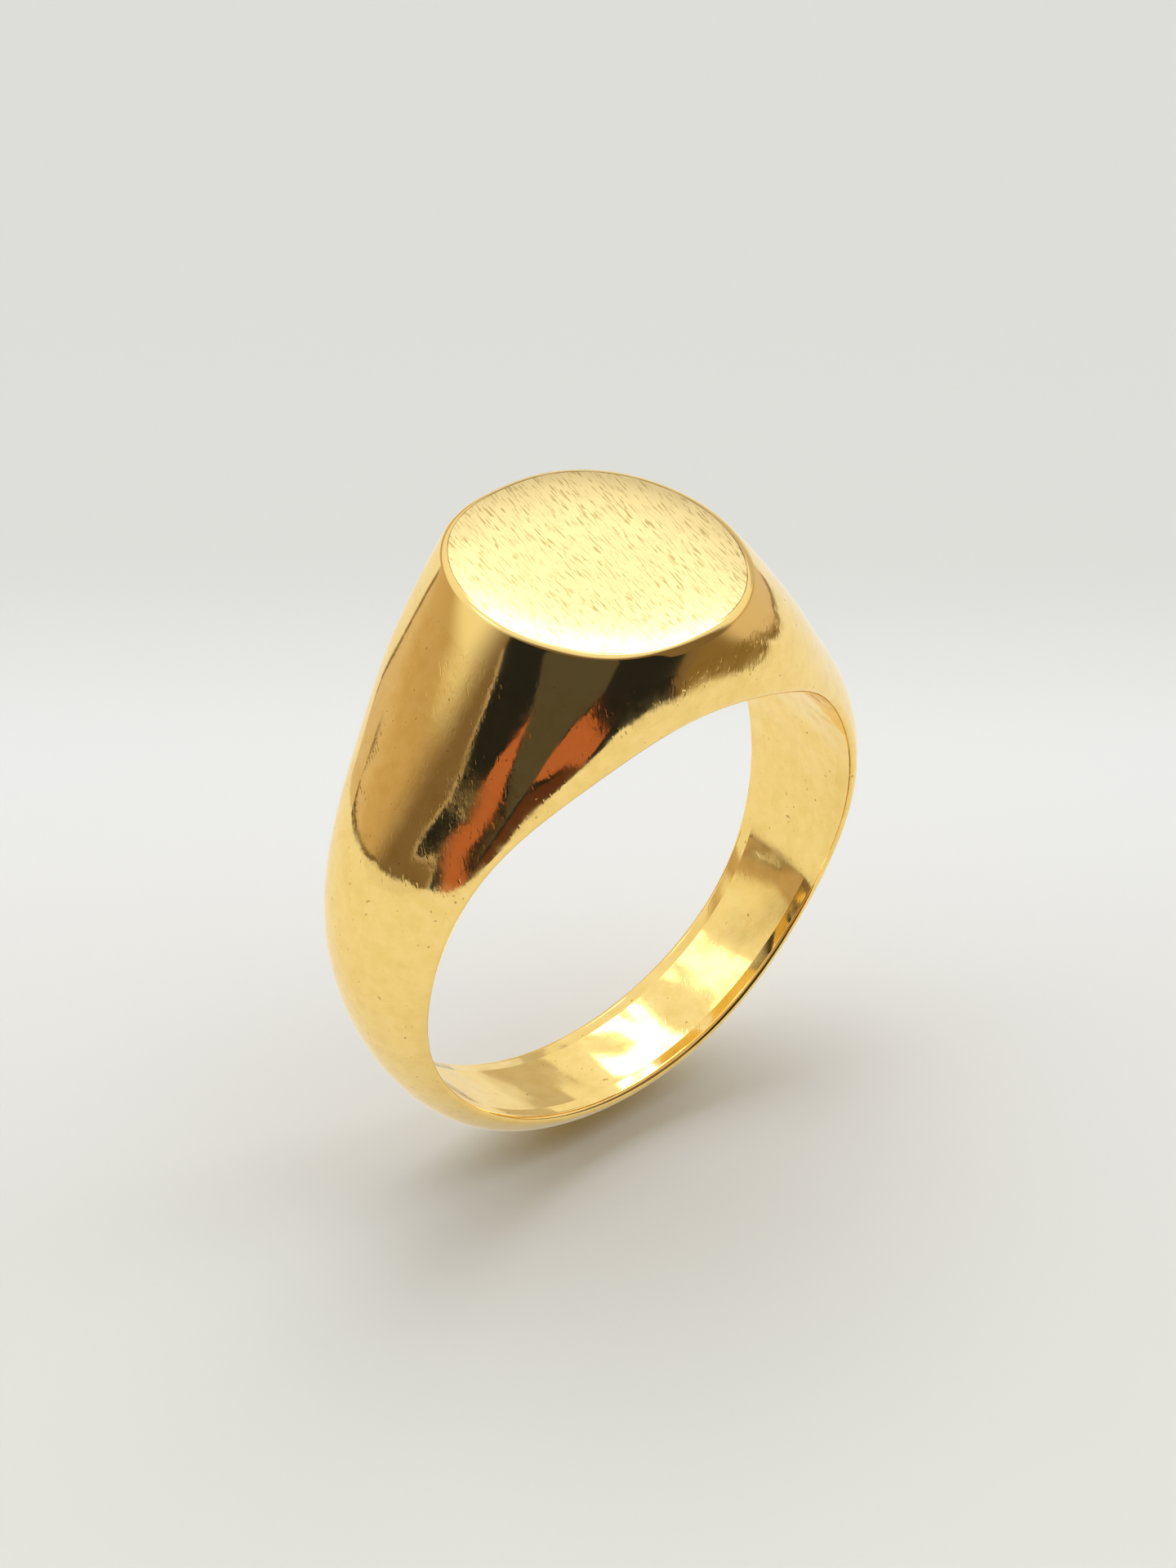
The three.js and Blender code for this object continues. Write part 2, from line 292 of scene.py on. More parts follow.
def rim_and_wall_depths(thickness):
    """Depths for each section (rows) from the finger hole to a thickness, close at both ends."""
    rim = RIM_ROUND * (1 - np.cos(np.linspace(0, math.pi / 2, RIM_STEPS, endpoint=False)))
    up = 1 - (1 - np.linspace(0, 1, WALL_STEPS)) ** 2
    wall = RIM_ROUND + (thickness[:, None] - RIM_ROUND) * up
    return np.concatenate([np.broadcast_to(rim, (len(thickness), RIM_STEPS)), wall], axis=1)


def add_slab(mesh, angles, depths, open_crown=False):
    """A stretch of the ring between the first and last angle, and the first and last depth.

    The crown closes by itself where the two sides meet. Where it doesn't, open_crown asks for a
    face along the outside.
    """
    radius = FINGER_RADIUS + depths
    x = radius * np.sin(angles * DEG)[:, None]
    z = radius * np.cos(angles * DEG)[:, None]
    front = skin_points(x, z, -1)
    back = skin_points(x, z, 1)
    if not open_crown:
        front[:, -1, 1] = 0
        back[:, -1, 1] = 0
    mesh.add_grid(front, skin_normals(x, z, -1))
    mesh.add_grid(back, skin_normals(x, z, 1), flip=True)
    across = np.linspace(0, 1, FLAT_STEPS)[:, None]
    outward = stack(np.sin(angles * DEG), 0, np.cos(angles * DEG))[:, None]
    inner = front[:, None, 0] * (1 - across) + back[:, None, 0] * across
    mesh.add_grid(inner, -outward, flip=True, bore=1.0)
    if open_crown:
        outer = front[:, None, -1] * (1 - across) + back[:, None, -1] * across
        mesh.add_grid(outer, outward)
    for end, sign in ((0, -1), (-1, 1)):
        cap = front[end][:, None] * (1 - across) + back[end][:, None] * across
        turn = angles[end] * DEG
        facing = sign * np.array([math.cos(turn), 0, -math.sin(turn)])
        mesh.add_grid(cap, facing, flip=sign > 0)


def even_angles(start, end):
    """Angles from start to end, about BAND_STEP apart."""
    return np.linspace(start, end, max(2, round((end - start) / BAND_STEP) + 1))


def band_mesh(start, end):
    """The whole section of the ring, from one angle to another."""
    angles = even_angles(start, end)
    mesh = PieceMesh()
    add_slab(mesh, angles, rim_and_wall_depths(crown_radius(angles) - FINGER_RADIUS))
    return mesh


def under_head_mesh(depths):
    """A curved plate under the head, with its rows at these depths into the metal."""
    angles = even_angles(-HEAD_EDGE_ANGLE, HEAD_EDGE_ANGLE)
    mesh = PieceMesh()
    add_slab(mesh, angles, np.broadcast_to(depths, (len(angles), len(depths))), open_crown=True)
    return mesh


def back_plate_mesh():
    """The plate that lies against the finger, with the finger hole's round rim."""
    return under_head_mesh(rim_and_wall_depths(np.array([BACK_PLATE_THICKNESS]))[0])


def back_plate_seam_mesh():
    """The layer of solder on the outside of the back plate."""
    outside = BACK_PLATE_THICKNESS + SEAM
    return under_head_mesh(np.linspace(BACK_PLATE_THICKNESS, outside, JOINT_STEPS))


# ------------------------------------------------------------------ the head

OVAL_STEPS = 480                 # columns round the head
EDGE_STEPS = 14                  # rows over the table's rounded edge
SIDE_STEPS = 24                  # rows down the side of the seal plate
WALL_ROWS = 60                   # rows down the head's wall
UNDER_ROWS = 12                  # rows across its underside
FILLET_PASSES = 8                # enough for the fillet's start to settle
HALVINGS = 40                    # enough to find the wall's lower edge
PLANE_MARGIN = 1e-6              # how far past the cylinder a point counts as off it
TABLE_ROLL_OFF = 0.20            # how far the table's shading leans at its edge, in radians
TABLE_ROLL_POWER = 4
SATIN_INSET = 0.012              # share of the way in at which the brushing is at full strength
# Rings of the table, as shares of the way from its edge to its middle.
TABLE_INSETS = np.array([0, 0.005, SATIN_INSET, *np.linspace(0.03, 1, 38)])


def oval_skin(turn, z):
    """Skin of the head on level slices: points and normals at turns round the oval."""
    half = profile_half_length(z)
    x = half * np.cos(turn)
    width = np.sqrt(np.maximum(squared_half_width(x, z), 0))
    side = np.where(np.sin(turn) < 0, -1.0, 1.0)
    return stack(x, side * width, z), skin_normals(x, z, side)


# Turns round the oval, starting and ending at its +X end.
TURNS = np.linspace(0, 2 * math.pi, OVAL_STEPS + 1)


def fillet_start():
    """Height on each side of the head where the rolling fillet of the table's edge begins."""
    z = np.full(TURNS.shape, TABLE_HEIGHT)
    for _ in range(FILLET_PASSES):
        _, normals = oval_skin(TURNS, z)
        z = TABLE_HEIGHT - TABLE_EDGE_ROUND * (1 - normals[:, 2])
    return z


def table_plate_mesh():
    """The seal plate: skin, rolled edge, flat table, and the flat underside."""
    mesh = PieceMesh()
    top = fillet_start()
    bottom = np.full(TURNS.shape, TABLE_HEIGHT - TABLE_PLATE_THICKNESS)
    share = np.linspace(0, 1, SIDE_STEPS)[:, None]
    heights = bottom * (1 - share) + top * share
    points, normals = oval_skin(np.broadcast_to(TURNS, heights.shape), heights)
    mesh.add_grid(points, normals, flip=True)
    # The fillet: an arc from the skin's own normal to straight up, about its rolling centre.
    # Brushing by hand has rolled the table off towards its rim, by too little to see except in
    # the shading, so the shading of the arc stops short of straight up.
    centre = points[-1] - TABLE_EDGE_ROUND * normals[-1]
    up = np.array([0.0, 0.0, 1.0])
    level = unit(normals[-1] * (1, 1, 0))
    start = np.arcsin(np.clip(normals[-1][:, 2], -1, 1))

    def arc(end):
        lean = start + (end - start) * np.linspace(0, 1, EDGE_STEPS)[:, None]
        return np.cos(lean)[..., None] * level + np.sin(lean)[..., None] * up

    edge = centre + TABLE_EDGE_ROUND * arc(math.pi / 2)
    mesh.add_grid(edge, arc(math.pi / 2 - TABLE_ROLL_OFF), flip=True)
    # The table and the underside are rings that shrink to their middle.
    shrink = (1 - TABLE_INSETS)[:, None, None]
    middle = np.array([0, 0, TABLE_HEIGHT])
    table = middle + (edge[-1] - middle) * shrink
    roll = TABLE_ROLL_OFF * shrink ** TABLE_ROLL_POWER
    satin = np.minimum(TABLE_INSETS / SATIN_INSET, 1)[:, None]
    mesh.add_grid(table, unit(up + np.tan(roll) * level), flip=True, satin=satin)
    middle = np.array([0, 0, bottom[0]])
    mesh.add_grid(middle + (points[0] - middle) * shrink, -up)
    return mesh


def hollow_wall(z):
    """The oval wall of the hollow under the table at a height, with normals into the hollow."""
    x = HOLLOW_HALF_X * np.cos(TURNS)
    y = HOLLOW_HALF_Y * np.sin(TURNS)
    inward = unit(stack(-np.cos(TURNS) / HOLLOW_HALF_X, -np.sin(TURNS) / HOLLOW_HALF_Y, 0))
    return stack(x, y, z), inward


def table_seam_mesh(high, low):
    """The level ring of solder between the seal plate and the head's wall."""
    mesh = PieceMesh()
    heights = np.linspace(low, high, JOINT_STEPS)[:, None] + 0 * TURNS
    points, normals = oval_skin(np.broadcast_to(TURNS, heights.shape), heights)
    mesh.add_grid(points, normals, flip=True)
    low_wall, inward = hollow_wall(low)
    high_wall, _ = hollow_wall(high)
    mesh.add_grid(np.stack([low_wall, high_wall]), np.stack([inward, inward]))
    mesh.add_grid(np.stack([points[-1], high_wall]), np.array([0, 0, 1.0]), flip=True)
    mesh.add_grid(np.stack([low_wall, points[0]]), np.array([0, 0, -1.0]), flip=True)
    return mesh


def skin_bottom(radius):
    """Where the head's wall ends below each turn: on a cylinder or on the head's end planes."""
    low = np.zeros(TURNS.shape)
    high = np.full(TURNS.shape, TABLE_HEIGHT)
    slope = math.tan(HEAD_EDGE_ANGLE * DEG)
    for _ in range(HALVINGS):
        z = (low + high) / 2
        x = np.abs(profile_half_length(z) * np.cos(TURNS))
        inside = (np.hypot(x, z) > radius) & (x < z * slope)
        high = np.where(inside, z, high)
        low = np.where(inside, low, z)
    return high


def head_wall_mesh(high, radius):
    """The head's tapering wall round its hollow, from a height down to a cylinder."""
    mesh = PieceMesh()
    bottom = skin_bottom(radius)
    share = np.linspace(0, 1, WALL_ROWS)[:, None]
    heights = bottom * (1 - share) + high * share
    points, normals = oval_skin(np.broadcast_to(TURNS, heights.shape), heights)
    mesh.add_grid(points, normals, flip=True)
    top_wall, inward = hollow_wall(high)
    low_wall, _ = hollow_wall(np.sqrt(radius ** 2 - (HOLLOW_HALF_X * np.cos(TURNS)) ** 2))
    mesh.add_grid(np.stack([low_wall, top_wall]), np.stack([inward, inward]))
    mesh.add_grid(np.stack([points[-1], top_wall]), np.array([0, 0, 1.0]), flip=True)
    # Underneath, the wall follows the cylinder out to its corner and then climbs the end plane.
    edge = HEAD_EDGE_ANGLE * DEG
    corner_x = radius * math.sin(edge)
    corner_z = radius * math.cos(edge)
    corner_y = math.sqrt(squared_half_width(np.array(corner_x), np.array(corner_z)))
    rim_x, rim_y, rim_z = points[0].T
    on_plane = np.hypot(rim_x, rim_z) > radius + PLANE_MARGIN
    side = np.sign(rim_x)
    spread = rim_y / np.abs(rim_y[on_plane]).max()
    on_corner = stack(side * corner_x, spread * corner_y, corner_z)
    corner = np.where(on_plane[:, None], on_corner, points[0])
    low_turn = np.arctan2(low_wall[:, 0], low_wall[:, 2])
    corner_turn = np.arctan2(corner[:, 0], corner[:, 2])
    mix = np.linspace(0, 1, UNDER_ROWS)[:, None]
    turns = low_turn * (1 - mix) + corner_turn * mix
    y = low_wall[:, 1] * (1 - mix) + corner[:, 1] * mix
    under = stack(radius * np.sin(turns), y, radius * np.cos(turns))
    mesh.add_grid(under, unit(under * (-1, 0, -1)), flip=True)
    plane = stack(side * math.cos(edge), 0, -math.sin(edge))
    mesh.add_grid(np.stack([corner, points[0]]), np.stack([plane, plane]), flip=True)
    return mesh


# ------------------------------------------------------------------ materials
#
# Every texture below is worked out in millimetres from the object's own coordinates, so it
# runs on unbroken from one piece to the next.

GOLD = (1.0, 0.735, 0.27)
SOLDER_GOLD = (1.0, 0.75, 0.29)
# The brushed top's gold is paler than GOLD: partly its brushed finish, partly painted light, the pale
# look of the brightly lit top.
BRUSHED_AND_LIT_GOLD = (1.0, 0.81, 0.385)

# How much of the gold's red, green and blue is left where it is deeper, dirty, or darkened by painted
# shade in the crease at the table's edge.
DEEP_TONE = (0.94, 0.90, 0.79)
DIRT_TONE = (0.35, 0.28, 0.2)
STROKE_TONE = (0.58, 0.52, 0.38)
CREASE_SHADE_TONE = (0.30, 0.24, 0.2)

# Depths of the relief, in millimetres.
WAVE_DEPTH = 0.006
BORE_RIPPLE_DEPTH = 0.15
DIMPLE_DEPTH = 0.0022
GRAIN_DEPTH = 0.0013
SCRATCH_DEPTH = -0.0012
STROKE_DEPTH = 0.007

CLEAR_ROUGHNESS = 0.05
HAZY_ROUGHNESS = 0.12
BORE_ROUGHNESS = 0.05            # added to those in the finger hole
PLATE_EDGE_ROUGHNESS = 0.08
SATIN_ROUGHNESS = (0.26, 0.32)

SCRATCH_TURN = 0.6               # radians about Z
BRUSH_TURN = 10 * DEG            # the brush ran along the finger, but not quite

# A Mix node's sockets: its two numbers and two colours, and the output for mixed colours.
FIRST_NUMBER = 2
SECOND_NUMBER = 3
FIRST_COLOUR = 6
SECOND_COLOUR = 7
MIXED_COLOUR = 2


class Shading:
    """The nodes of a material or of the world, with short ways to add and join them."""

    def __init__(self, owner, shader="Principled BSDF"):
        owner.use_nodes = True
        self.owner = owner
        self.tree = owner.node_tree
        self.shader = self.tree.nodes[shader]

    def node(self, kind, inputs=None, **settings):
        made = self.tree.nodes.new(kind)
        for key, value in settings.items():
            setattr(made, key, value)
        for key, value in (inputs or {}).items():
            self.feed(made, key, value)
        return made

    def feed(self, made, key, value):
        """Sets an input to a value, or joins it to another node's output."""
        if isinstance(value, bpy.types.NodeSocket):
            self.tree.links.new(value, made.inputs[key])
        else:
            made.inputs[key].default_value = value

    def millimetres(self, stretch=(1, 1, 1), turn=0):
        """Object coordinates in millimetres, turned about Z and then stretched."""
        place = self.node("ShaderNodeTexCoord")
        scaled = self.node("ShaderNodeMapping", {"Vector": place.outputs["Object"],
                                                 "Rotation": (0, 0, turn),
                                                 "Scale": (1 / MM, 1 / MM, 1 / MM)})
        stretched = self.node("ShaderNodeMapping", {"Vector": scaled.outputs[0], "Scale": stretch})
        return stretched.outputs[0]

    def noise(self, vector, scale=1.0, detail=1.0, roughness=0.5):
        made = self.node("ShaderNodeTexNoise",
                         {"Vector": vector, "Scale": scale, "Detail": detail, "Roughness": roughness})
        return made.outputs["Fac"]

    def mark(self, name):
        """One of the marks that PieceMesh leaves on its points."""
        return self.node("ShaderNodeAttribute", attribute_name=name).outputs["Fac"]

    def ramp(self, value, low, high, at_low=0, at_high=1, **settings):
        """Maps low to high onto at_low to at_high, and holds the ends."""
        made = self.node("ShaderNodeMapRange", {"Value": value, "From Min": low, "From Max": high,
                                                "To Min": at_low, "To Max": at_high}, **settings)
        return made.outputs["Result"]

    def tones(self, value, stops, **settings):
        """A colour for each value from 0 to 1, from (value, colour) stops."""
        made = self.node("ShaderNodeValToRGB", {0: value})
        ramp = made.color_ramp
        for key, setting in settings.items():
            setattr(ramp, key, setting)
        ready = len(ramp.elements)
        for i, (position, colour) in enumerate(stops):
            stop = ramp.elements[i] if i < ready else ramp.elements.new(1.0)
            stop.position = position
            stop.color = (*colour, 1)
        return made.outputs[0]

    def math(self, operation, first, second=0):
        made = self.node("ShaderNodeMath", {0: first, 1: second}, operation=operation)
        return made.outputs[0]

    def mix_colour(self, share, first, second):
        made = self.node("ShaderNodeMix", data_type="RGBA")
        self.feed(made, 0, share)
        for key, colour in ((FIRST_COLOUR, first), (SECOND_COLOUR, second)):
            self.feed(made, key, (*colour, 1) if isinstance(colour, tuple) else colour)
        return made.outputs[MIXED_COLOUR]

    def mix_number(self, share, first, second):
        made = self.node("ShaderNodeMix", {0: share, FIRST_NUMBER: first, SECOND_NUMBER: second},
                         data_type="FLOAT")
        return made.outputs[0]

    def bump(self, height, depth, normal=None):
        """Raises the surface by height times depth, in millimetres."""
        made = self.node("ShaderNodeBump", {"Height": height, "Distance": depth * MM})
        if normal is not None:
            self.feed(made, "Normal", normal)
        return made.outputs["Normal"]


def toned(colour, tone):
    """A gold with only these shares of its red, green and blue."""
    return tuple(channel * share for channel, share in zip(colour, tone))


def polished_skin(shading, bore):
    """Hand-polished metal: slow waves, dimples, a fine grain left by the last polish, scratches.

    bore is 1 in the finger hole, where long ripples are added.
    """
    waves = shading.noise(shading.millimetres(), scale=0.45)
    ripples = shading.noise(shading.millimetres((0.7, 0.45, 0.7)), detail=0.3)
    dimples = shading.noise(shading.millimetres(), scale=1.8)
    grain = shading.noise(shading.millimetres((9, 9, 1.5)), detail=3.0)
    scratch_lines = shading.noise(shading.millimetres((9, 1.1, 3), SCRATCH_TURN))
    scratches = shading.ramp(scratch_lines, 0.64, 0.76)
    wavy = shading.bump(waves, WAVE_DEPTH)
    rippled = shading.bump(shading.math("MULTIPLY", ripples, bore), BORE_RIPPLE_DEPTH, wavy)
    dimpled = shading.bump(dimples, DIMPLE_DEPTH, rippled)
    grained = shading.bump(grain, GRAIN_DEPTH, dimpled)
    return shading.bump(scratches, SCRATCH_DEPTH, grained)


def polished_gold(name, colour):
    """Mirror gold, a little deeper in patches, with dark pits and a faint uneven haze."""
    shading = Shading(bpy.data.materials.new(name))
    shader = shading.shader
    bore = shading.mark("bore")
    cloud = shading.noise(shading.millimetres(), scale=1.6, detail=4.0, roughness=0.6)
    clouded = shading.mix_colour(shading.ramp(cloud, 0.4, 0.7), colour, toned(colour, DEEP_TONE))
    pits = shading.noise(shading.millimetres(), scale=6.0, detail=0.0)
    pit_share = shading.ramp(pits, 0.80, 0.85, at_high=0.6)
    pitted = shading.mix_colour(pit_share, clouded, toned(colour, DIRT_TONE))
    shading.feed(shader, "Base Color", pitted)
    shading.feed(shader, "Metallic", 1)
    haze = shading.noise(shading.millimetres(), scale=1.3, detail=3.0)
    hazy = shading.ramp(haze, 0.35, 0.75, CLEAR_ROUGHNESS, HAZY_ROUGHNESS)
    worn_bore = shading.math("MULTIPLY", bore, BORE_ROUGHNESS)
    shading.feed(shader, "Roughness", shading.math("ADD", hazy, worn_bore))
    shading.feed(shader, "Normal", polished_skin(shading, bore))
    return shading.owner


def satin_gold(name):
    """The seal plate: polished sides and edge, and a flat top brushed in short broken strokes."""
    shading = Shading(bpy.data.materials.new(name))
    shader = shading.shader
    satin = shading.mark("satin")
    patches = shading.noise(shading.millimetres(), scale=1.1, detail=3.0)
    strokes = shading.noise(shading.millimetres((17, 1.5, 1), BRUSH_TURN), detail=2.0)
    dark_strokes = shading.ramp(strokes, 0.55, 0.64)
    worn_strokes = shading.math("MULTIPLY", dark_strokes, shading.ramp(patches, 0.35, 0.6, 0.45))
    stroke_share = shading.math("MULTIPLY", worn_strokes, satin)
    # The flat top takes the paler gold, which is partly painted light.
    gold = shading.mix_colour(satin, GOLD, BRUSHED_AND_LIT_GOLD)
    brushed_and_lit_gold = shading.mix_colour(stroke_share, gold, toned(BRUSHED_AND_LIT_GOLD, STROKE_TONE))
    # A broken dark hairline where the brushed flat meets its polished edge: painted shade in the
    # crease there.
    off_edge = shading.math("ABSOLUTE", shading.math("SUBTRACT", satin, 0.5))
    line = shading.ramp(off_edge, 0.1, 0.42, 1, 0)
    hairline = shading.math("MULTIPLY", line, shading.ramp(patches, 0.35, 0.55, 0.3, 0.9))
    crease_shaded = shading.mix_colour(hairline, brushed_and_lit_gold, toned(GOLD, CREASE_SHADE_TONE))
    shading.feed(shader, "Base Color", crease_shaded)
    shading.feed(shader, "Metallic", 1)
    brushed = shading.ramp(patches, 0.3, 0.7, *SATIN_ROUGHNESS)
    shading.feed(shader, "Roughness", shading.mix_number(satin, PLATE_EDGE_ROUGHNESS, brushed))
    brushing = shading.bump(shading.math("MULTIPLY", strokes, satin), STROKE_DEPTH)
    shading.feed(shader, "Normal", brushing)
    return shading.owner


POLISHED = polished_gold("polished_gold", GOLD)
SOLDER = polished_gold("gold_solder", SOLDER_GOLD)
SATIN = satin_gold("satin_gold")


# ------------------------------------------------------------------ the pieces

plate_bottom = TABLE_HEIGHT - TABLE_PLATE_THICKNESS
seam_bottom = plate_bottom - SEAM
wall_radius = FINGER_RADIUS + BACK_PLATE_THICKNESS + SEAM

HEAD_PIECES = [
    ("table_plate", table_plate_mesh(), SATIN, "satin_gold"),
    ("table_solder_joint", table_seam_mesh(plate_bottom, seam_bottom), SOLDER, "gold_solder"),
    ("head_wall", head_wall_mesh(seam_bottom, wall_radius), POLISHED, "polished_gold"),
    ("back_plate_solder_joint", back_plate_seam_mesh(), SOLDER, "gold_solder"),
    ("back_plate", back_plate_mesh(), POLISHED, "polished_gold"),
]
for node, piece_mesh, material, slot in HEAD_PIECES:
    make_piece(piece_mesh, node, material)

SHOULDER_START = HEAD_EDGE_ANGLE + SEAM_ANGLE
BAND_START = SHOULDER_END_ANGLE + SEAM_ANGLE
BAND_END = 180 - SEAM_ANGLE / 2

# On each side of the ring: name, first and last angle from the table, material and slot.
SIDE_PIECES = [
    ("shoulder_solder_joint", HEAD_EDGE_ANGLE, SHOULDER_START, SOLDER, "gold_solder"),
    ("shoulder", SHOULDER_START, SHOULDER_END_ANGLE, POLISHED, "polished_gold"),
    ("band_solder_joint", SHOULDER_END_ANGLE, BAND_START, SOLDER, "gold_solder"),
    ("half_band", BAND_START, BAND_END, POLISHED, "polished_gold"),
]
for name, start, end, material, slot in SIDE_PIECES:
    make_piece(band_mesh(-end, -start), "left_" + name, material)
    make_piece(band_mesh(start, end), "right_" + name, material)
make_piece(band_mesh(BAND_END, 360 - BAND_END), "sizing_solder_joint", SOLDER)


# ------------------------------------------------------------------ camera

CAMERA_AZIMUTH = -39.0           # degrees: 0 looks along +Y
CAMERA_ELEVATION = 38.0
CAMERA_ROLL = 0.6
CAMERA_DISTANCE = 0.2551         # metres, like the two below
AIM_RIGHT = -0.0002              # what the picture's middle shows, from the finger's axis
AIM_UP = 0.00267
CAMERA_LENS = 168.75
SENSOR_WIDTH = 36
RING_CENTRE = Vector((0, 0, BASE_RADIUS * MM))


def direction(turn, height):
    """Unit vector from the ring. Turn 0 is -Y, + goes round towards +X. Height is up from level."""
    level = math.cos(height * DEG)
    return Vector((math.sin(turn * DEG) * level, -math.cos(turn * DEG) * level,
                   math.sin(height * DEG)))


def add_camera():
    back = direction(CAMERA_AZIMUTH, CAMERA_ELEVATION)
    roll = CAMERA_ROLL * DEG
    level_right = (-back).cross(Vector((0, 0, 1))).normalized()
    level_up = level_right.cross(-back)
    right = math.cos(roll) * level_right + math.sin(roll) * level_up
    up = math.cos(roll) * level_up - math.sin(roll) * level_right
    place = RING_CENTRE + AIM_RIGHT * right + AIM_UP * up + CAMERA_DISTANCE * back
    axes = Matrix((right, up, back)).transposed()
    data = bpy.data.cameras.new("camera")
    data.lens = CAMERA_LENS
    data.sensor_width = SENSOR_WIDTH
    data.clip_start = 0.01
    data.clip_end = 10
    camera = bpy.data.objects.new("camera", data)
    camera.matrix_world = Matrix.Translation(place) @ axes.to_4x4()
    scene.collection.objects.link(camera)
    scene.camera = camera


add_camera()

# ------------------------------------------------------------------ stage and light
#
# The stage is a pale floor under two wide soft boxes, which the gold doesn't see. Polished gold
# shows mostly what it reflects, so the rest of the studio is made for its reflections: a sheet
# of white paper under the ring, cards round it and three small soft boxes. Only mirror rays see
# those. The cards glow in their own colours with no lamp on them: painted reflections of the
# things round the ring. Places on the floor are millimetres to the camera's right and towards
# it. Places round the ring are a turn and a height in degrees, as in direction().

FLOOR_HALF_SIZE = 1.0            # metres, like the distances below
CARD_DISTANCE = 1.5
LIGHT_DISTANCE = 1.2
scene.view_settings.view_transform = "Standard"

# The floor's tone, from far behind the ring to in front of it: millimetres towards the camera. The
# tones are painted light: the floor is lighter in a band a little behind the ring and darker far
# behind it.
FLOOR_TONES = [(-60, (0.555, 0.57, 0.56)), (-34, (0.565, 0.58, 0.57)), (-19, (0.65, 0.665, 0.675)),
               (-6, (0.64, 0.65, 0.645)), (20, (0.625, 0.64, 0.62))]

# The white sheet, and painted shade in dark strips along its back and right edges.
PAPER_OUTLINE = [(-200, 260), (-110, 178), (-27, 84), (-12, 74), (1, 67), (12, 56), (24, 46), (32, 36),
                 (30, 20), (28, 10), (32, 5), (43, -4), (55, -16), (58, -34), (54, -52), (34, -57),
                 (40, -260),
                 (-260, -240), (-85, -73), (-43, -42), (-36, -33), (-37, -29), (-78, -37), (-300, -48)]
PAPER_EDGE_SHADES = {
    "back_edge_shade": [(-36, -33), (-43, -42), (-85, -73), (-260, -240), (-285, -240), (-92, -73),
                  (-46, -42)],
    "right_edge_shade": [(34, -57), (54, -52), (58, -34), (55, -16), (43, -4), (32, 5), (28, 10),
                   (31, 11), (35, 8), (46, -1), (59, -15), (63, -34), (58, -56), (36, -62)],
}

# The sheet is lit, and also glows with painted light, which keeps the ring's shadow faint in the
# gold's reflection of it.
PAPER_COLOUR = (0.42, 0.42, 0.40)
PAPER_PAINTED_GLOW = (0.35, 0.35, 0.325)
PAPER_SHADE = (0.10, 0.07, 0.03)
PAPER_GAP = 1.3                  # width of the shaded line round the sheet, in millimetres...
PAPER_GAP_REACH = 45             # ...at this distance from the ring. It widens further out
GAP_LEVEL = 0.02                 # heights above the floor, in millimetres
SHEET_LEVEL = 0.05
PAPER_EDGE_SHADE_LEVEL = 0.08

# Colours and distances of the cards. Each card glows in its colour with no lamp on it: painted
# reflections of what stands round the ring.
BLACK = (0.018, 0.020, 0.026)
GREY = (0.085, 0.078, 0.072)
COPPER = (0.46, 0.15, 0.08)
DARK_COPPER = (0.10, 0.04, 0.025)
EDGE_LIGHT = (0.50, 0.42, 0.36)
EDGE_SHADE = (0.16, 0.11, 0.07)
RAISED_PAPER = (0.80, 0.78, 0.70)
RAISED_PAPER_BACK = (0.80, 0.79, 0.74)
WALL = (0.60, 0.55, 0.50)
COPPER_DISTANCE = 1.3
GREY_DISTANCE = 1.4
CUT_EDGE_DISTANCE = 1.45
EDGE_SHADE_DISTANCE = 1.52
WALL_DISTANCE = 1.55

# The left black card's edge, from top to bottom, and the width of its light cut, in degrees.
BLACK_EDGE = [(-112, 24), (-108, 19.5), (-104, 15), (-100, 11), (-97, 9.1), (-92, 8.4), (-88, 7.9),
              (-85, 7.2), (-82, 6.2), (-80, 5), (-78, 3.6), (-76, 1), (-71, -5)]
EDGE_WIDTH = 0.9

# The room's tone at each height: sine of the elevation, then its colour.
ROOM_TONES = [(-0.10, (0.70, 0.58, 0.46)), (0.0, (0.60, 0.46, 0.30)), (0.15, (0.54, 0.41, 0.27)),
              (0.24, (0.90, 0.85, 0.72)), (0.50, (0.94, 0.93, 0.88)), (0.80, (0.95, 0.96, 0.95))]
ROOM_SHADE = (0.20, 0.14, 0.09)
FRONT_TURN = -35                 # towards the photographer, whose side of the room is shaded
FRONT_LEAN = (-0.12, 0.22)       # how far a direction leans that way, from no shade to full
SHADE_TOP = (0.86, 0.98)         # sine of the elevation where the shade fades out overhead

# Name, turn and height, angular size across and down in degrees, radiance in units of white,
# and whether the gold sees it. The others light the floor.
SOFT_BOXES = [
    ("side_box", 100, 54, (78, 78), 1.03, False),
    ("left_box", -145, 50, (78, 78), 0.81, False),
    ("back_box", 161, 53, (20, 12), 4.0, True),
    ("high_box", 126, 59, (24, 14), 4.6, True),
    ("low_box", -145, 42, (11, 11), 1.6, True),
]


def floor_point(right, near, height=0.0):
    """A point on the floor, in metres, from millimetres to the camera's right and towards it."""
    turn = CAMERA_AZIMUTH * DEG
    across = Vector((math.cos(turn), math.sin(turn), 0))
    towards = Vector((math.sin(turn), -math.cos(turn), 0))
    return (right * across + near * towards + Vector((0, 0, height))) * MM


def glow_material(name, colour):
    shading = Shading(bpy.data.materials.new(name))
    shading.tree.nodes.remove(shading.shader)
    glow = shading.node("ShaderNodeEmission", {"Color": (*colour, 1), "Strength": 1.0})
    shading.feed(shading.tree.nodes["Material Output"], "Surface", glow.outputs[0])
    return shading.owner


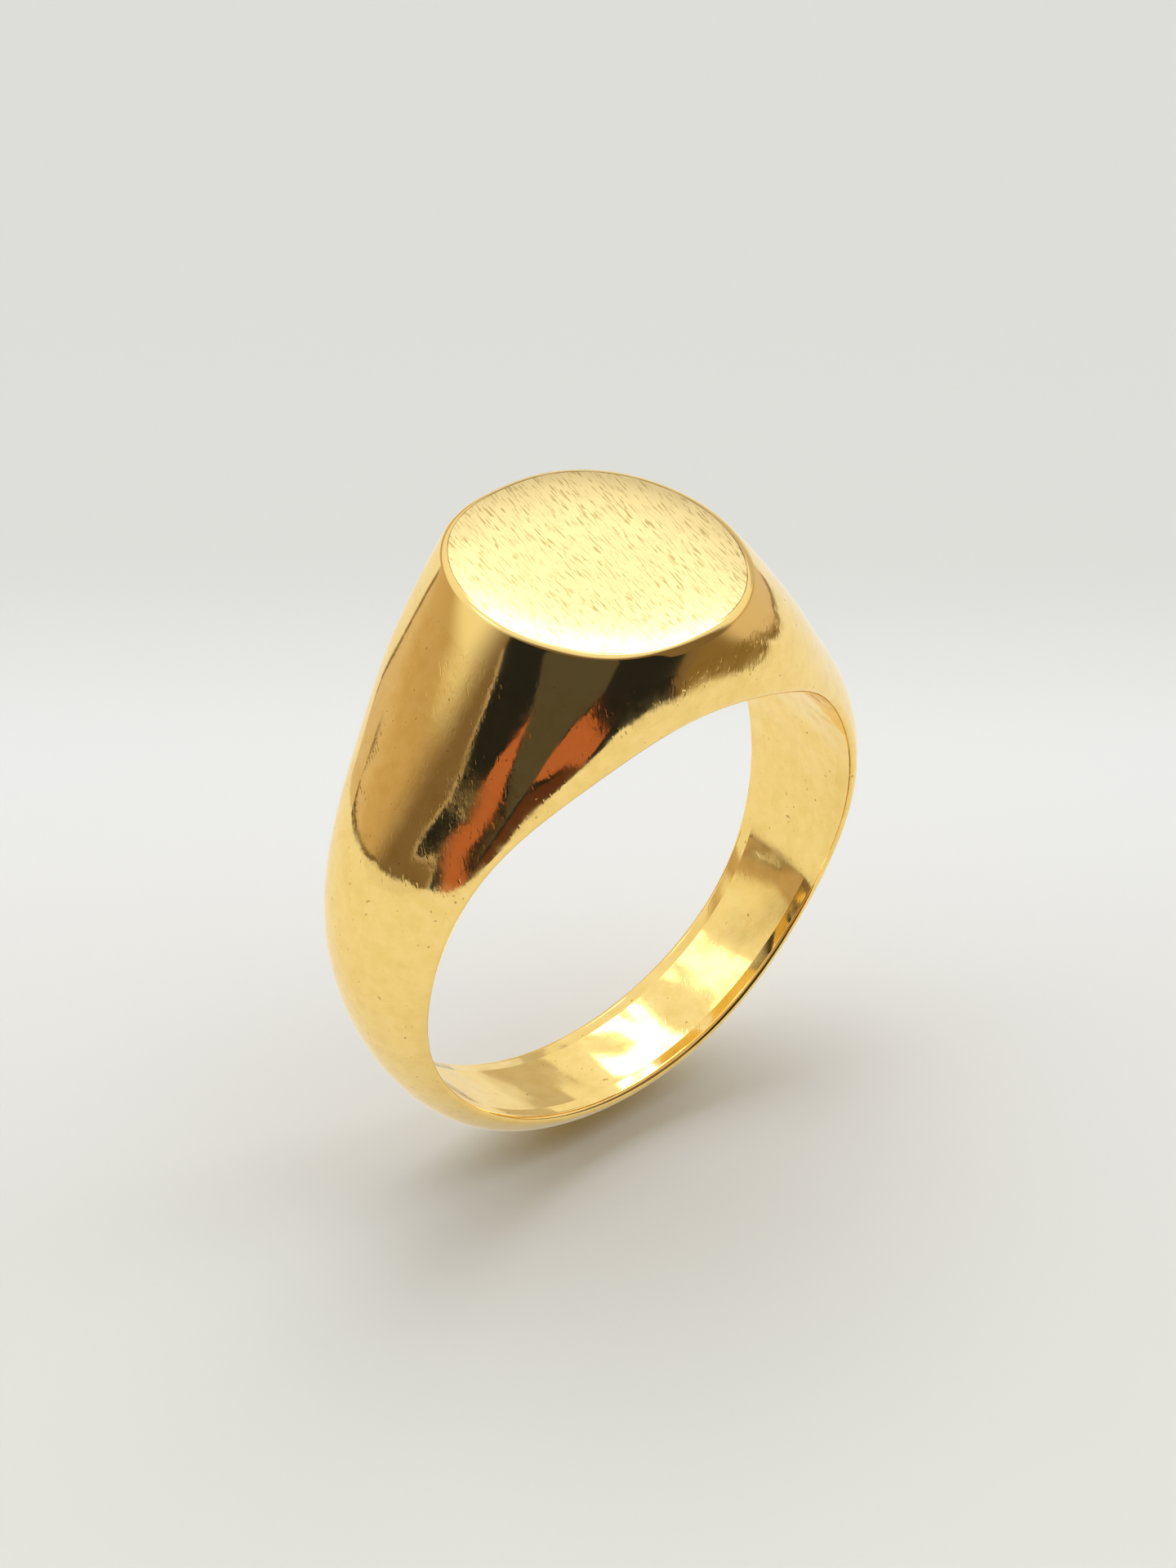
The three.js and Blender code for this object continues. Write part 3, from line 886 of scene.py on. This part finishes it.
def matt_shading(name, colour, glow=None):
    """Paper. glow is painted light: the paper glows by itself, with no lamp to light it through."""
    shading = Shading(bpy.data.materials.new(name))
    shader = shading.shader
    shading.feed(shader, "Base Color", (*colour, 1))
    shading.feed(shader, "Roughness", 0.95)
    shading.feed(shader, "Specular IOR Level", 0.0)
    if glow:
        shading.feed(shader, "Emission Color", (*glow, 1))
        shading.feed(shader, "Emission Strength", 1.0)
    return shading


def add_stage(name, corners, material):
    """A stage face with these corners."""
    mesh = bpy.data.meshes.new(name)
    mesh.from_pydata([tuple(corner) for corner in corners], [], [tuple(range(len(corners)))])
    mesh.materials.append(material)
    face = bpy.data.objects.new(name, mesh)
    scene.collection.objects.link(face)
    return face


def for_reflections_only(face):
    face.visible_camera = False
    face.visible_diffuse = False
    face.visible_shadow = False
    face.visible_transmission = False


def add_floor():
    """A pale sheet with a faint painted band of light across it, which the gold doesn't see."""
    half = FLOOR_HALF_SIZE
    corners = [(-half, -half, 0), (half, -half, 0), (half, half, 0), (-half, half, 0)]
    shading = matt_shading("floor_paper", FLOOR_TONES[0][1])
    turned = shading.millimetres(turn=-CAMERA_AZIMUTH * DEG)
    away = shading.node("ShaderNodeSeparateXYZ", {0: turned}).outputs["Y"]
    first = FLOOR_TONES[0][0]
    last = FLOOR_TONES[-1][0]
    stops = [((near - first) / (last - first), colour) for near, colour in FLOOR_TONES]
    tones = shading.tones(shading.ramp(away, -first, -last), stops, interpolation="EASE")
    shading.feed(shading.shader, "Base Color", tones)
    floor = add_stage("floor", corners, shading.owner)
    floor.visible_glossy = False


def add_paper():
    """The white sheet that the gold reflects, with painted shade in the gap under its edge and in
    strips along its back and right edges.
    """
    count = len(PAPER_OUTLINE)
    gap = []
    for i, (right, near) in enumerate(PAPER_OUTLINE):
        ahead = PAPER_OUTLINE[(i + 1) % count]
        behind = PAPER_OUTLINE[i - 1]
        along = Vector((ahead[0] - behind[0], ahead[1] - behind[1])).normalized()
        reach = PAPER_GAP * math.hypot(right, near) / PAPER_GAP_REACH
        gap.append(floor_point(right + along.y * reach, near - along.x * reach, GAP_LEVEL))
    shade = matt_shading("paper_shade", PAPER_SHADE, PAPER_SHADE)
    for_reflections_only(add_stage("paper_gap", gap, shade.owner))
    for name, strip in PAPER_EDGE_SHADES.items():
        corners = [floor_point(right, near, PAPER_EDGE_SHADE_LEVEL) for right, near in strip]
        for_reflections_only(add_stage(name, corners, shade.owner))
    sheet = [floor_point(right, near, SHEET_LEVEL) for right, near in PAPER_OUTLINE]
    # The sheet glows with painted light besides being lit.
    white = matt_shading("white_paper", PAPER_COLOUR, PAPER_PAINTED_GLOW)
    for_reflections_only(add_stage("paper", sheet, white.owner))


def add_card(name, outline, colour, distance=CARD_DISTANCE):
    """A card that glows in its colour and fills an outline of turns and heights, as seen from the
    ring: a painted reflection.
    """
    turns, heights = zip(*outline)
    facing = direction((min(turns) + max(turns)) / 2, (min(heights) + max(heights)) / 2)
    rays = [direction(turn, height) for turn, height in outline]
    corners = [RING_CENTRE + ray * distance / ray.dot(facing) for ray in rays]
    for_reflections_only(add_stage(name, corners, glow_material(name, colour)))


def add_dark_side():
    """Black cards in front of the ring, with a grey and three copper ones before them. The copper ones
    and the light cut along the black card's edge glow: painted reflections.
    """
    add_card("black_card_left", [*BLACK_EDGE, (-66, -10), (-56, -20), (-36, -26), (-36, 46),
                                 (-72, 46), (-114, 34)], BLACK)
    add_card("black_card_right", [(-36, -22), (-10, -30), (14, -38), (34, -44), (38, -39), (22, -29),
                                  (12, -15), (8, 10), (6, 46), (-36, 46)], BLACK)
    cut_edge = [(turn - EDGE_WIDTH, height - EDGE_WIDTH) for turn, height in BLACK_EDGE]
    add_card("cut_edge", [*cut_edge, *reversed(BLACK_EDGE)], EDGE_LIGHT, CUT_EDGE_DISTANCE)
    add_card("grey_card", [(-89, 30), (-80, 21), (-75, 17), (-70, 9), (-50, -8), (-46, 0), (-42, 9),
                           (-29, 7), (-32, 14), (-32, 46), (-88, 46)], GREY, GREY_DISTANCE)
    add_card("copper_card_left", [(-78, 20), (-75, 15), (-69, 6), (-62, -1), (-48, -12), (-52, -15),
                                  (-62, -8), (-70, 0), (-77, 5), (-84, 9), (-84, 15)],
             COPPER, COPPER_DISTANCE)
    add_card("copper_card_right", [(-47, -3), (-45, 5), (-39, 8), (-32, 6), (-16, -8), (-3, -19),
                                   (-8, -22), (-26, -10)], COPPER, COPPER_DISTANCE)
    add_card("copper_card_low", [(-47, -6), (-26, -12), (-6, -23), (-2, -30), (-24, -26),
                                 (-48, -18)], DARK_COPPER, COPPER_DISTANCE)


def add_bright_side():
    """Glowing cards for the sheet's raised edges, left of the ring and behind it, with a wall past the
    back one: painted light.
    """
    add_card("raised_edge_left", [(-159, -11), (-141, -4), (-120, 2), (-92, 2), (-72, -4),
                                  (-110, -20)], RAISED_PAPER)
    add_card("raised_edge_back", [(112, -8), (118, 4), (128, 8), (150, 5), (156, -8)],
             RAISED_PAPER_BACK)
    add_card("edge_shade_left", [(-159, -11), (-141, -4), (-120, 2), (-92, 2), (-72, -4), (-71, -3),
                                 (-91, 3.3), (-121, 3.3), (-142, -2.5), (-160, -9.5)],
             EDGE_SHADE, EDGE_SHADE_DISTANCE)
    add_card("wall_back", [(100, -2), (100, 22), (128, 27), (150, 22), (156, -2)],
             WALL, WALL_DISTANCE)


def add_world():
    """The room: warm and dim low down, white overhead, and shaded in front of the ring."""
    world = bpy.data.worlds.new("studio")
    shading = Shading(world, "Background")
    place = shading.node("ShaderNodeTexCoord").outputs["Generated"]
    sine = shading.node("ShaderNodeSeparateXYZ", {0: place}).outputs["Z"]
    stops = [((height + 1) / 2, colour) for height, colour in ROOM_TONES]
    tones = shading.tones(shading.ramp(sine, -1, 1), stops)
    lean = shading.node("ShaderNodeVectorMath", {0: place, 1: direction(FRONT_TURN, 0)},
                        operation="DOT_PRODUCT").outputs["Value"]
    front = shading.ramp(lean, *FRONT_LEAN, interpolation_type="SMOOTHSTEP")
    share = shading.math("MULTIPLY", front, shading.ramp(sine, *SHADE_TOP, 1, 0))
    shading.feed(shading.shader, "Color", shading.mix_colour(share, tones, ROOM_SHADE))
    scene.world = world


def add_soft_box(name, turn, height, spread, radiance, in_gold):
    """A soft box that is either seen in the gold or lights the floor."""
    size = [2 * LIGHT_DISTANCE * math.tan(angle / 2 * DEG) for angle in spread]
    data = bpy.data.lights.new(name, "AREA")
    data.shape = "RECTANGLE"
    data.size, data.size_y = size
    data.energy = radiance * math.pi * size[0] * size[1]
    light = bpy.data.objects.new(name, data)
    ray = direction(turn, height)
    light.location = ray * LIGHT_DISTANCE + RING_CENTRE
    light.rotation_mode = "QUATERNION"
    light.rotation_quaternion = (-ray).to_track_quat("-Z", "Y")
    light.visible_camera = False
    light.visible_glossy = in_gold
    light.visible_diffuse = not in_gold
    scene.collection.objects.link(light)


add_floor()
add_paper()
add_dark_side()
add_bright_side()
add_world()
for soft_box in SOFT_BOXES:
    add_soft_box(*soft_box)
